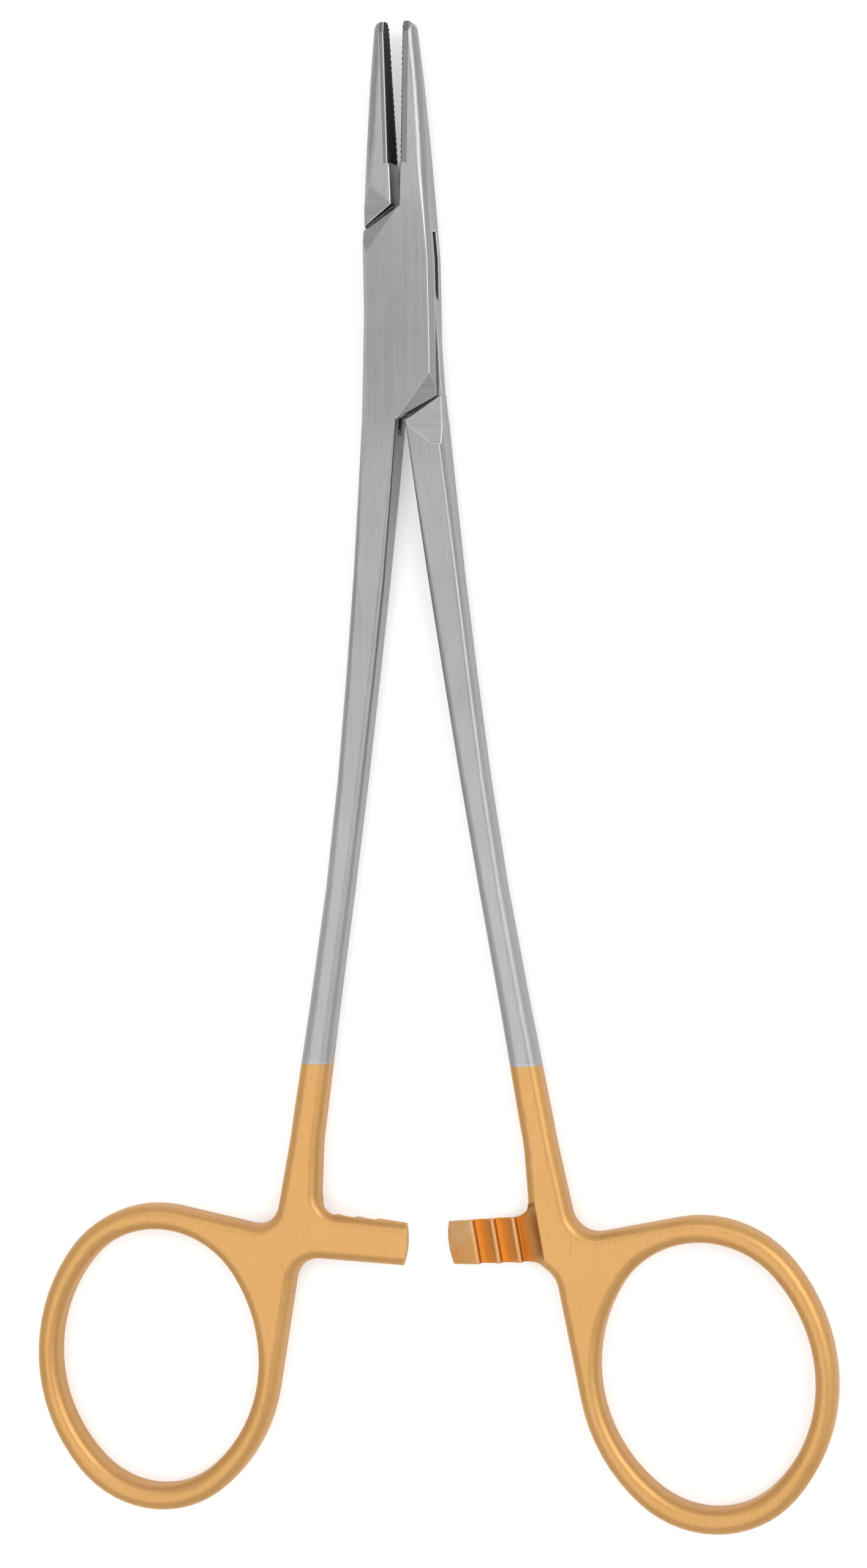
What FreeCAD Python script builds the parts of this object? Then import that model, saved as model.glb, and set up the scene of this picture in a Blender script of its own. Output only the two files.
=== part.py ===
import FreeCAD, Part
import math
import os
from FreeCAD import Vector

# Straight needle holder with a box lock, carbide jaw faces, ring handles and a three tooth ratchet.
# Millimetres. The pivot axis is the Z axis, the tips point along +Y and the front face looks along +Z.
# The back of the lock lies on Z = 0. Both halves are drawn closed and then turned to the rest opening.

# Opening
rest_opening = 3.5            # degrees between the two halves as they lie

# Box lock
box_thickness = 4.2
cheek_thickness = 1.3
tenon_play = 0.03             # between the tenon and each cheek
waist_half_width = 3.55       # half the width of the lock at the pivot
corner_half_width = 3.75      # half the width at the free corners of the cheeks
corner_height = 8.05          # pivot to a free corner, along the instrument
fork_height = 10.25           # pivot to either fork
shoulder_gap = 0.08           # cheek corner to tenon shoulder, closed
shoulder_slope = 0.3          # extra gap of the shoulder at the fork
bevel_width = 0.45            # bevel along the long edges of the lock
bevel_depth = 0.65
cheek_facet_length = 5.8      # pivot to where a cheek facet starts on the face
cheek_facet_inset = 0.5       # that point, in from the side
cheek_edge = 0.2              # cheek left at its free corner
shoulder_facet_length = 12.75 # pivot to the far corner of a shoulder facet
shoulder_facet_inset = 0.4    # that corner, in from the side
shoulder_facet_drop = 1.1     # depth of the facet at the outer end of the shoulder
shoulder_facet_sink = 0.05    # depth at its inner end
shoulder_facet_rise = 0.1     # extra depth at its far corner
slot_side = 7.3               # pivot to the slot's end at the side of the lock
slot_fork = 12.35             # pivot to the slot's end at the fork
flank_side = 1.0              # pivot to where the tenon's flank leaves its side

# Pivot pin
pin_diameter = 2.4
pin_play = 0.03               # between the pin and the tenon
rivet_flare = 0.3             # how far each riveted head spreads
rivet_depth = 0.35

# Jaws
jaw_reach = 28.25             # pivot to the tip
jaw_root_width = 2.95         # centre line to the outer edge at the fork
jaw_tip_width = 1.2           # centre line to the outer edge at the tip, before it is rounded
jaw_bow = 0.15                # how far the outer edge stands out between fork and tip
jaw_tip_thickness = 2.05
jaw_round = 0.95              # rounding of the outer long edges at the tip
jaw_round_width = 0.78        # most of the jaw's width that this rounding takes
jaw_round_depth = 0.45        # most of its thickness
jaw_spans = 3                 # straight stretches that make up the curve of a jaw
jaw_gap = 0.05                # centre line to the steel inner face, closed
jaw_edge_bevel = 0.13         # bevel of the inner long edges
tip_flat = 0.55               # flat end of each tip
tip_curve = 1.6               # length of the rounded corner of the tip
tip_fullness = 0.68           # how far that corner bulges towards a square one
tip_bevel_length = 0.9
tip_bevel_depth = 0.4

# Carbide faces
insert_start = 14.5           # pivot to the square lower end
insert_thickness = 0.58
insert_gap_start = 0.11       # centre line to the teeth at the lower end, closed
insert_gap_tip = 0.02
tooth_pitch = 0.4             # across the grooves
tooth_depth = 0.13
tooth_angle = 45.0            # degrees between a groove and the jaw

# Shanks, measured below the pivot
neck_centre = 1.93            # at the fork
neck_width = 3.56
neck_round = 0.1              # rounding of the inner long edges at the fork
upper_drop = 25.0
upper_centre = 2.94
upper_width = 3.27
upper_thickness = 3.15
upper_round = 0.5
upper_blend = 0.8             # share of the outer bevel that has turned into a rounding there
waist_drop = 50.0
waist_centre = 5.28
waist_width = 2.66
waist_thickness = 3.05
waist_round = 0.8
lower_drop = 66.0
lower_centre = 7.32
lower_width = 2.78
shank_end_drop = 80.0
shank_end_centre = 9.2
shank_end_width = 3.1
shank_spans = 7               # straight stretches that make up the curve of a shank
span_growth = 1.2             # above 1 they get longer towards the handle

# Handles
handle_thickness = 3.3
handle_round = 1.02           # rounding of every handle edge
ring_centre_x = 25.03
ring_centre_below_arm = 15.75 # under the arm's upper side
ring_half_width = 12.85       # outside of the ring
ring_half_height = 15.7
ring_top_radius = 11.6        # the upper half is a little squarer
ring_bottom_radius = 10.9
ring_side_bar = 2.15          # width of the ring's bar at its sides
ring_end_bar = 2.5            # and at its top and bottom
hole_top_ease = 0.35          # how much wider the finger hole's end arcs are than the bar alone gives
hole_bottom_ease = 0.2
ring_lean = 2.4               # degrees, the top leans to the centre line
shank_foot_outer = 12.7       # where the outer side of the shank meets the web
web_below_arm = 2.0           # upper side of the web, under the arm's upper side
foot_flare = 2.0              # straight shank before its foot widens
foot_flare_radius = 20.0
outer_fork_radius = 2.6
inner_fork_radius = 2.0
lower_fork_radius = 2.8
shank_foot_inner = 8.15       # where the inner side of the shank meets the arm
ring_foot = 10.3              # where the ring meets the arm from below

# Ratchet
arm_below_shank = 9.45        # upper side of the arm, under the end of the shank
arm_root_width = 4.5
arm_tip_width = 4.3
arm_fall = 0.5                # how much lower the upper side lies at the tip
front_arm_reach = 1.4         # how far the arm passes the centre line, closed
back_arm_reach = 0.75
arm_end_bulge = 0.3           # how far the end of an arm stands out at its middle
arm_end_slant = 0.3           # how much further its lower corner is set back
arm_play = 0.05               # tooth crest to the middle plane
ratchet_first = 2.15          # centre line to the first crest
ratchet_pitch = 2.16
ratchet_teeth = 3
ratchet_depth = 0.62
ratchet_crest = 0.28          # width of a crest
ratchet_hollow = 0.2          # share of a valley's depth that is left halfway along it
ratchet_ramp = 0.85           # depth of the lead-in at the tip of the arm
ratchet_skew = 7.0            # degrees
ratchet_over = 0.35           # how far the milled floor runs past the arm's upper side
ratchet_under = 1.7           # and past its lower side
ratchet_end_run = 1.5         # length of the slope from there up to the face
ratchet_runout = 9.38         # centre line to where the run-out meets the face

middle = box_thickness / 2
round_fullness = math.sqrt(2) - 1
lock_bevel = (bevel_width, bevel_depth, 0.0)
slot_height = box_thickness - 2 * cheek_thickness
tenon_thickness = slot_height - 2 * tenon_play
arm_top_drop = shank_end_drop + arm_below_shank
arm_bottom_drop = arm_top_drop + arm_root_width
arm_tip_top_drop = arm_top_drop + arm_fall
arm_tip_bottom_drop = arm_tip_top_drop + arm_tip_width
web_drop = arm_top_drop + web_below_arm
ring_centre_drop = arm_top_drop + ring_centre_below_arm
far = 60.0                    # beyond the whole lock in every direction
spare = 1.0                   # how far a cutter reaches past what it cuts


def smooth_value(rows, at, column):
    # Value of a column at one station, on a smooth curve through the rows
    places = [row[0] for row in rows]
    number = 0
    while number < len(rows) - 2 and at > places[number + 1]:
        number += 1

    def slope(index):
        first = max(index - 1, 0)
        last = min(index + 1, len(rows) - 1)
        return (rows[last][column] - rows[first][column]) / (places[last] - places[first])

    span = places[number + 1] - places[number]
    share = (at - places[number]) / span
    start = rows[number][column]
    end = rows[number + 1][column]
    value = start * (1 + 2 * share) * (1 - share) ** 2 + end * (3 - 2 * share) * share ** 2
    value += slope(number) * span * share * (1 - share) ** 2
    value -= slope(number + 1) * span * share ** 2 * (1 - share)
    return value


def section(x, y, lean, width, thickness, inner, outer):
    # Rounded rectangle across a bar, its outer side towards +X
    # Inner and outer are the corners on each side: width, depth and fullness
    across = Vector(math.cos(lean), math.sin(lean), 0)
    up = Vector(0, 0, 1)
    centre = Vector(x, y, middle)
    arcs = []
    corners = [(1, -1, outer), (1, 1, outer), (-1, 1, inner), (-1, -1, inner)]
    for number, (side, level, corner) in enumerate(corners):
        wide, deep, fullness = corner
        tip = centre + across * side * width / 2 + up * level * thickness / 2
        on_side = tip - up * level * deep
        on_face = tip - across * side * wide
        halfway = (on_side + on_face) / 2
        bulge = halfway + (tip - halfway) * fullness
        ends = [on_side, on_face] if number % 2 else [on_face, on_side]
        arcs.append((ends[0], bulge if fullness else None, ends[1]))
    edges = []
    for number, (first, mid, last) in enumerate(arcs):
        curve = Part.Arc(first, mid, last) if mid else Part.LineSegment(first, last)
        edges.append(curve.toShape())
        following = arcs[(number + 1) % 4][0]
        edges.append(Part.LineSegment(last, following).toShape())
    return Part.Wire(edges)


def quarter(radius):
    return (radius, radius, round_fullness)


def bevel(size):
    return (size, size, 0.0)


def blended(first, last, share):
    # Corner between two others
    return tuple(a + (b - a) * share for a, b in zip(first, last))


def jaw_section(y, outer, thickness, corner):
    width = outer - jaw_gap
    return section(jaw_gap + width / 2, y, 0, width, thickness, bevel(jaw_edge_bevel), corner)


def prism(points, bottom, top):
    # Upright prism over a plan outline of straight lines
    corners = [Vector(x, y, bottom) for x, y in points]
    face = Part.Face(Part.makePolygon(corners + corners[:1]))
    return face.extrude(Vector(0, 0, top - bottom))


def half_round(shape):
    # The same shape turned half a turn about the pivot axis
    turned = shape.copy()
    turned.rotate(Vector(0, 0, 0), Vector(0, 0, 1), 180)
    return turned


def flipped(shape):
    # The same shape turned over about the instrument's long axis
    turned = shape.copy()
    turned.rotate(Vector(0, 0, middle), Vector(0, 1, 0), 180)
    return turned


def below(shape):
    # The same shape mirrored from the front face to the back face
    return shape.mirror(Vector(0, 0, middle), Vector(0, 0, 1))


def jaw_bar():
    # Jaw and the side of the lock below it, as one tapered bar on the +X side
    length = jaw_reach - fork_height
    sections = []
    for number in range(jaw_spans + 1):
        share = number / jaw_spans
        y = fork_height + share * length
        outer = jaw_root_width + share * (jaw_tip_width - jaw_root_width)
        outer += jaw_bow * 4 * share * (1 - share)
        thickness = box_thickness + share * (jaw_tip_thickness - box_thickness)
        wide = min(jaw_round, jaw_round_width * (outer - jaw_gap))
        deep = min(jaw_round, jaw_round_depth * thickness)
        rounding = (wide, deep, round_fullness)
        corner = blended(lock_bevel, rounding, min(1.0, 2 * share))
        sections.append(jaw_section(y, outer, thickness, corner))
    blade = Part.makeLoft(sections, True, True)
    halfway = (jaw_root_width + waist_half_width) / 2 + jaw_bow
    side = [
        jaw_section(fork_height, jaw_root_width, box_thickness, lock_bevel),
        jaw_section(fork_height / 2, halfway, box_thickness, lock_bevel),
        jaw_section(0, waist_half_width, box_thickness, lock_bevel),
        jaw_section(-corner_height, corner_half_width, box_thickness, lock_bevel),
    ]
    lock_side = Part.makeLoft(side, True, True)
    return blade.common(tip_form()).fuse(lock_side)


def tip_form():
    # Everything that the rounded tip keeps, in plan and from the side
    start = Vector(jaw_gap + tip_flat, jaw_reach, 0)
    growth = (jaw_root_width - jaw_tip_width) / (jaw_reach - fork_height)
    end = Vector(jaw_tip_width + tip_curve * growth + jaw_bow / 2, jaw_reach - tip_curve, 0)
    bulge = Vector(start.x + (end.x - start.x) * tip_fullness, end.y + (start.y - end.y) * tip_fullness, 0)
    outline = [
        Part.LineSegment(Vector(-far, 0, 0), Vector(-far, jaw_reach, 0)).toShape(),
        Part.LineSegment(Vector(-far, jaw_reach, 0), start).toShape(),
        Part.Arc(start, bulge, end).toShape(),
        Part.LineSegment(end, Vector(far, end.y, 0)).toShape(),
        Part.LineSegment(Vector(far, end.y, 0), Vector(far, 0, 0)).toShape(),
        Part.LineSegment(Vector(far, 0, 0), Vector(-far, 0, 0)).toShape(),
    ]
    plan = Part.Face(Part.Wire(outline)).extrude(Vector(0, 0, box_thickness))
    edge = jaw_tip_thickness / 2 - tip_bevel_depth
    full = box_thickness / 2 + tip_bevel_depth
    rise = edge + (jaw_reach - fork_height) * tip_bevel_depth / tip_bevel_length
    profile = [
        Vector(-far, jaw_reach, middle - edge),
        Vector(-far, fork_height, middle - rise),
        Vector(-far, 0, middle - full - rise),
        Vector(-far, 0, middle + full + rise),
        Vector(-far, fork_height, middle + rise),
        Vector(-far, jaw_reach, middle + edge),
    ]
    side = Part.Face(Part.makePolygon(profile + profile[:1])).extrude(Vector(2 * far, 0, 0))
    return plan.common(side)


def shank_bar():
    # Side of the lock and shank, as one bar on the +X side, down to the handle
    inner_side = neck_centre - neck_width / 2
    lock_side = []
    for y, outer in ((corner_height, corner_half_width), (0, waist_half_width)):
        width = outer - inner_side
        centre = outer - width / 2
        lock_side.append(section(centre, y, 0, width, box_thickness, quarter(neck_round), lock_bevel))
    rows = [
        (fork_height, neck_centre, neck_width, box_thickness, neck_round, 0.0),
        (upper_drop, upper_centre, upper_width, upper_thickness, upper_round, upper_blend),
        (waist_drop, waist_centre, waist_width, waist_thickness, waist_round, 1.0),
        (lower_drop, lower_centre, lower_width, waist_thickness, handle_round, 1.0),
        (shank_end_drop, shank_end_centre, shank_end_width, handle_thickness, handle_round, 1.0),
    ]
    stations = []
    for number in range(shank_spans + 1):
        share = number / shank_spans
        drop = fork_height + (shank_end_drop - fork_height) * share ** span_growth
        stations.append([drop] + [smooth_value(rows, drop, column) for column in range(1, 6)])
    sections = []
    for number, (drop, centre, width, thickness, rounding, share) in enumerate(stations):
        before = stations[max(number - 1, 0)]
        after = stations[min(number + 1, shank_spans)]
        lean = math.atan2(after[1] - before[1], after[0] - before[0]) if number else 0
        if number == shank_spans:
            lean = shank_end_lean()
        outer = blended(lock_bevel, quarter(rounding), min(1.0, share))
        sections.append(section(centre, -drop, lean, width, thickness, quarter(rounding), outer))
    upper_part = Part.makeLoft(lock_side + sections[:1], True, True)
    return upper_part.fuse(Part.makeLoft(sections, True, True))


def shank_end_lean():
    return math.atan2(shank_end_centre - lower_centre, shank_end_drop - lower_drop)


def lock_block():
    # Middle of the lock between the two bars, out to the free corners
    fork = (0.0, fork_height)
    corner = (corner_half_width, corner_height)
    inset = waist_half_width - 2 * bevel_width
    shoulder = corner_height - (corner_half_width - inset)
    points = [fork, corner, (inset, shoulder), (inset, -corner_height), (inset / 2, -fork_height)]
    points += [(-x, -y) for x, y in points]
    return prism(points, 0, box_thickness)


def short_arc(centre, start, finish):
    # Arc of less than half a turn between two points
    outwards = ((start - centre) + (finish - centre)).normalize()
    return Part.Arc(start, centre + outwards * (start - centre).Length, finish)


class Oval:
    # Upright oval of tangent arcs, a tighter one at each end and a flatter one at each side

    def __init__(self, half_width, half_height, top_radius, bottom_radius):
        self.half_width = half_width
        self.half_height = half_height
        self.ends = {1: top_radius, -1: bottom_radius}

    def side_radius(self, end):
        radius = self.ends[end]
        spare = self.half_width ** 2 + self.half_height ** 2 - 2 * self.half_height * radius
        return spare / (2 * (self.half_width - radius))

    def end_centre(self, end):
        return Vector(0, end * (self.half_height - self.ends[end]), 0)

    def side_centre(self, side, end):
        return Vector(-side * (self.side_radius(end) - self.half_width), 0, 0)

    def joint(self, side, end):
        # Where an end arc meets a side arc
        away = self.end_centre(end) - self.side_centre(side, end)
        return self.side_centre(side, end) + away.normalize() * self.side_radius(end)

    def end_arc(self, end, start=None):
        # From the left joint, or a point given, over the end to the right joint
        return short_arc(self.end_centre(end), start or self.joint(-1, end), self.joint(1, end))

    def side_arc(self, side, end, start=None):
        # From the side's outermost point, or a point given, to a joint
        start = start or Vector(side * self.half_width, 0, 0)
        return short_arc(self.side_centre(side, end), start, self.joint(side, end))


def ring_frame():
    # From the ring's own upright frame to its place on the handle
    place = FreeCAD.Placement()
    place.Rotation = FreeCAD.Rotation(Vector(0, 0, 1), ring_lean)
    place.Base = Vector(ring_centre_x, -ring_centre_drop, 0)
    return place


def touching_point(spot, centre, radius, turn):
    # Where a line from a point touches a circle, on its left (1) or right (-1)
    away = spot - centre
    swing = turn * math.acos(radius / away.Length)
    angle = math.atan2(away.y, away.x) + swing
    return centre + Vector(math.cos(angle), math.sin(angle), 0) * radius


def handle_outline(arm_reach):
    # Shank end, web, ring and ratchet arm as one outline of lines and tangent arcs
    oval = Oval(ring_half_width, ring_half_height, ring_top_radius, ring_bottom_radius)
    place = ring_frame()
    lean = shank_end_lean()
    across = Vector(math.cos(lean), math.sin(lean), 0) * (shank_end_width / 2)
    shank_end = Vector(shank_end_centre, -shank_end_drop, 0)
    flare = shank_end + Vector(math.sin(lean), -math.cos(lean), 0) * foot_flare
    outer_fork = Vector(shank_foot_outer, -web_drop, 0)
    lower_fork = Vector(ring_foot, -arm_bottom_drop, 0)
    inner_fork = Vector(shank_foot_inner, -arm_top_drop, 0)
    arm_upper = arm_end(arm_reach, arm_top_drop, shank_foot_inner, arm_tip_top_drop)
    arm_lower = arm_end(arm_reach, arm_bottom_drop, ring_foot, arm_tip_bottom_drop)
    ring_outer_fork = place.inverse().multVec(outer_fork)
    ring_lower_fork = place.inverse().multVec(lower_fork)
    web_end = touching_point(ring_outer_fork, oval.end_centre(1), ring_top_radius, -1)
    foot_end = touching_point(ring_lower_fork, oval.side_centre(-1, -1), oval.side_radius(-1), 1)
    ring = [
        oval.end_arc(1, web_end),
        oval.side_arc(1, 1),
        oval.side_arc(1, -1),
        oval.end_arc(-1),
        oval.side_arc(-1, -1, foot_end),
    ]
    edges = []
    for arc in ring:
        edge = arc.toShape()
        edge.transformShape(place.toMatrix())
        edges.append(edge)
    path = [
        (place.multVec(foot_end), 0),
        (lower_fork, lower_fork_radius),
        (arm_lower, handle_round),
        (arm_upper, handle_round),
        (inner_fork, inner_fork_radius),
        (flare - across, foot_flare_radius),
        (shank_end - across, 0),
        (shank_end + across, 0),
        (flare + across, foot_flare_radius),
        (outer_fork, outer_fork_radius),
        (place.multVec(web_end), 0),
    ]
    return Part.Wire(Part.sortEdges(edges + rounded_path(path))[0])


def arm_end(arm_reach, root_drop, root_x, tip_drop):
    # End of one long side of the arm, drawn on past the tip that is cut later
    slope = (tip_drop - root_drop) / (root_x + arm_reach)
    past = arm_reach + 2 * handle_round
    return Vector(-past, -root_drop - slope * (root_x + past), 0)


def arm_tip_cutter(arm_reach):
    # Everything past the slightly rounded end of the arm
    upper = Vector(arm_end_bulge - arm_reach, -arm_tip_top_drop, 0)
    lower = Vector(upper.x + arm_end_slant, -arm_tip_bottom_drop, 0)
    halfway = (upper + lower) / 2
    outwards = Vector(upper.y - lower.y, lower.x - upper.x, 0).normalize()
    arc = Part.Arc(upper, halfway - outwards * arm_end_bulge, lower)
    start = arc.StartPoint - (arc.EndPoint - arc.StartPoint)
    finish = arc.EndPoint + (arc.EndPoint - arc.StartPoint)
    corners = [upper, start, start - outwards * far, finish - outwards * far, finish, lower]
    edges = [Part.LineSegment(first, last).toShape() for first, last in zip(corners, corners[1:])]
    outline = Part.Wire(Part.sortEdges(edges + [arc.toShape()])[0])
    return Part.Face(outline).extrude(Vector(0, 0, box_thickness))


def rounded_path(path):
    # Lines through points with a radius each, joined by tangent arcs where it isn't 0
    edges = []
    start = path[0][0]
    for (before, _), (spot, radius), (after, _) in zip(path, path[1:], path[2:]):
        arriving = (spot - before).normalize()
        leaving = (after - spot).normalize()
        half_turn = arriving.getAngle(leaving) / 2
        reach = radius * math.tan(half_turn)
        edges.append(Part.LineSegment(start, spot - arriving * reach).toShape())
        start = spot + leaving * reach
        if radius:
            inwards = (leaving - arriving).normalize()
            mid = spot + inwards * (radius / math.cos(half_turn) - radius)
            edges.append(Part.Arc(spot - arriving * reach, mid, start).toShape())
    edges.append(Part.LineSegment(start, path[-1][0]).toShape())
    return edges


def finger_hole():
    # The inside of the ring, a thinner bar away at the sides than at the ends
    top = ring_top_radius - ring_end_bar + hole_top_ease
    bottom = ring_bottom_radius - ring_end_bar + hole_bottom_ease
    oval = Oval(ring_half_width - ring_side_bar, ring_half_height - ring_end_bar, top, bottom)
    edges = []
    for end in (1, -1):
        edges.append(oval.end_arc(end).toShape())
        edges.append(oval.side_arc(1, end).toShape())
        edges.append(oval.side_arc(-1, end).toShape())
    hole = Part.Wire(Part.sortEdges(edges)[0])
    hole.transformShape(ring_frame().toMatrix())
    return hole


def handle(arm_reach):
    solid = Part.Face(handle_outline(arm_reach)).extrude(Vector(0, 0, handle_thickness))
    hole = Part.Face(finger_hole()).extrude(Vector(0, 0, handle_thickness))
    solid = solid.cut(hole)
    soft = []
    for edge in solid.Edges:
        box = edge.BoundBox
        level = box.ZLength < spare / 1000
        at_shank = box.YMin > -shank_end_drop - foot_flare / 3
        if level and not at_shank:
            soft.append(edge)
    solid = solid.makeFillet(handle_round, soft)
    solid.translate(Vector(0, 0, middle - handle_thickness / 2))
    return solid.cut([arm_tip_cutter(arm_reach), ratchet_cutter(arm_reach)])


def ratchet_cutter(arm_reach):
    # Everything in front of the toothed arm: lead-in, teeth and the run-out to the face
    crest = middle - arm_play
    floor = crest - ratchet_depth
    front = middle + handle_thickness / 2
    top = ratchet_over + 2 * ratchet_end_run
    y = -arm_top_drop + top
    length = arm_bottom_drop - arm_top_drop + top + ratchet_under
    skew = math.tan(math.radians(ratchet_skew))
    shift = -skew * (top + (arm_bottom_drop - arm_top_drop) / 2)
    half_crest = ratchet_crest / 2

    def spot(x, z):
        return Vector(x + shift, y, z)

    start = spot(-arm_reach - spare, crest - ratchet_ramp)
    edges = [Part.LineSegment(start, spot(ratchet_first - half_crest, crest)).toShape()]
    for number in range(ratchet_teeth):
        x = ratchet_first + number * ratchet_pitch
        edges.append(Part.LineSegment(spot(x - half_crest, crest), spot(x + half_crest, crest)).toShape())
        foot = spot(x + 2 * half_crest, floor)
        edges.append(Part.LineSegment(spot(x + half_crest, crest), foot).toShape())
        if number < ratchet_teeth - 1:
            last = spot(x + ratchet_pitch - half_crest, crest)
            dip = spot((x + 2 * half_crest + last.x - shift) / 2, floor + ratchet_hollow * ratchet_depth)
        else:
            last = spot(ratchet_runout, front)
            dip = spot((x + 2 * half_crest + ratchet_runout) / 2, floor + ratchet_hollow * (front - floor))
        edges.append(Part.Arc(foot, dip, last).toShape())
    above = front + spare
    edges.append(Part.LineSegment(spot(ratchet_runout, front), spot(ratchet_runout, above)).toShape())
    edges.append(Part.LineSegment(spot(ratchet_runout, above), spot(-arm_reach - spare, above)).toShape())
    edges.append(Part.LineSegment(spot(-arm_reach - spare, above), start).toShape())
    cutter = Part.Face(Part.Wire(edges)).extrude(Vector(skew * length, -length, 0))
    end_y = -arm_top_drop + ratchet_over
    slope_end = end_y + ratchet_end_run * (above - floor) / (front - floor)
    left = -arm_reach - 2 * spare
    below_floor = crest - ratchet_ramp - spare
    profile = [(end_y, below_floor), (end_y, floor), (slope_end, above), (far, above), (far, below_floor)]
    corners = [Vector(left, place, level) for place, level in profile]
    upper_end = Part.Face(Part.makePolygon(corners + corners[:1])).extrude(Vector(far, 0, 0))
    return cutter.cut(upper_end)


def forging(arm_reach):
    # One half before its lock is cut: jaw on the -X side, shank and ring on the +X side
    jaw = jaw_bar().mirror(Vector(0, 0, 0), Vector(1, 0, 0))
    parts = [shank_bar(), lock_block(), handle(arm_reach)]
    return jaw.multiFuse(parts).removeSplitter()


def sloped_cutter(plan, plane):
    # Prism above a sloping plane given by three points, over a plan outline
    first, second, third = [Vector(*spot) for spot in plane]
    normal = (second - first).cross(third - first)
    corners = []
    for x, y in plan:
        z = first.z - (normal.x * (x - first.x) + normal.y * (y - first.y)) / normal.z
        corners.append(Vector(x, y, z))
    face = Part.Face(Part.makePolygon(corners + corners[:1]))
    return face.extrude(Vector(0, 0, 2 * box_thickness))


def four_ways(cutter):
    # A lock cutter at both ends and on both faces
    both_faces = [cutter, below(cutter)]
    return both_faces + [half_round(shape) for shape in both_faces]


def cheek_facet():
    # Facet of a cheek towards its free corner, at the upper left
    fork = (0.0, fork_height)
    start = (-corner_half_width + cheek_facet_inset, cheek_facet_length)
    corner = (-corner_half_width, corner_height)
    corner_level = middle + slot_height / 2 + cheek_edge
    past = (start[0] - (fork[0] - start[0]) / 2, start[1] - (fork[1] - start[1]) / 2)
    outside = corner[0] - 4 * spare
    plan = [fork, (-spare, fork_height + spare), (outside, corner_height + spare), (outside, past[1]), past]
    plane = [fork + (box_thickness,), start + (box_thickness,), corner + (corner_level,)]
    return sloped_cutter(plan, plane)


def shoulder_line():
    # Inner and outer end of the upper left shoulder of the tenon half
    inner = (-jaw_gap, fork_height + shoulder_slope)
    outer = (-corner_half_width, corner_height + shoulder_gap)
    return inner, outer


def shoulder_facet():
    # Ground facet of the tenon half next to its shoulder, at the upper left
    inner, outer = shoulder_line()
    face_level = box_thickness - shoulder_facet_sink
    far_corner = (-jaw_root_width + shoulder_facet_inset, shoulder_facet_length)
    outside = outer[0] - 4 * spare
    plan = [inner, far_corner, (outside, far_corner[1] + spare)]
    plan += [(outside, outer[1] - 3 * spare), (0.0, inner[1] - spare)]
    plane = [
        inner + (face_level,),
        far_corner + (face_level - shoulder_facet_rise,),
        outer + (face_level - shoulder_facet_drop,),
    ]
    return sloped_cutter(plan, plane)


def slot_plan(inner_end, side_end, side):
    # Region between two lock walls that run from the fork to the side of the lock
    rise = (inner_end - side_end) / side
    outside = (2 * side, inner_end - 2 * side * rise)
    top = inner_end + spare * rise / 2
    points = [outside, (-spare / 2, top), (-2 * side, top), (-2 * side, -outside[1])]
    return points + [(-x, -y) for x, y in points]


def box_half():
    half = flipped(forging(front_arm_reach))
    bottom = middle - slot_height / 2
    slot = prism(slot_plan(slot_fork, slot_side, waist_half_width), bottom, bottom + slot_height)
    bore = pivot_pin()
    half = half.cut(four_ways(cheek_facet()) + [slot, bore])
    return half


def tenon_half():
    half = forging(back_arm_reach)
    low = middle - tenon_thickness / 2
    high = middle + tenon_thickness / 2
    inner, outer = shoulder_line()
    slope = (inner[1] - outer[1]) / (inner[0] - outer[0])
    away = 3 * corner_half_width
    outer_y = inner[1] + slope * (-away - inner[0])
    plan = [inner, (-away, outer_y), (-away, -shoulder_facet_length), (-inner[0], -shoulder_facet_length)]
    plan += [(-x, -y) for x, y in plan]
    above_tenon = prism(plan, high, box_thickness + spare)
    below_tenon = prism(plan, -spare, low)
    reach = waist_half_width + spare
    fall = (fork_height - flank_side) / waist_half_width
    flank = [(-jaw_gap, fork_height), (reach, fork_height - fall * reach), (away, fork_height - fall * reach)]
    flank += [(away, shoulder_facet_length), (-jaw_gap, shoulder_facet_length)]
    beyond_flank = prism(flank, low - spare, high + spare)
    bore = Part.makeCylinder(pin_diameter / 2 + pin_play, box_thickness)
    cutters = [above_tenon, below_tenon, beyond_flank, half_round(beyond_flank), bore]
    cutters += four_ways(shoulder_facet())
    return half.cut(cutters)


def pivot_pin():
    # Rivet through both cheeks, each head spread into a countersink and ground flush
    radius = pin_diameter / 2
    shaft = Part.makeCylinder(radius, box_thickness)
    head = Part.makeCone(radius + rivet_flare, radius, rivet_depth)
    return shaft.multiFuse([head, below(head)]).removeSplitter()


def insert_seat(side):
    # Slab that a carbide face fills, on the +X or -X side of the closed gap
    top = jaw_reach + spare
    fall = (insert_gap_tip - insert_gap_start) / (jaw_reach - insert_start)
    tip_gap = insert_gap_start + fall * (top - insert_start)
    plan = [(0.0, insert_start), (0.0, top), (tip_gap + insert_thickness, top)]
    plan.append((insert_gap_start + insert_thickness, insert_start))
    face = [(insert_gap_start, insert_start), (tip_gap, top), (tip_gap + insert_thickness, top)]
    face.append((insert_gap_start + insert_thickness, insert_start))
    seat = prism([(side * x, y) for x, y in plan], 0, box_thickness)
    body = prism([(side * x, y) for x, y in face], 0, box_thickness)
    return seat, body


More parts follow.
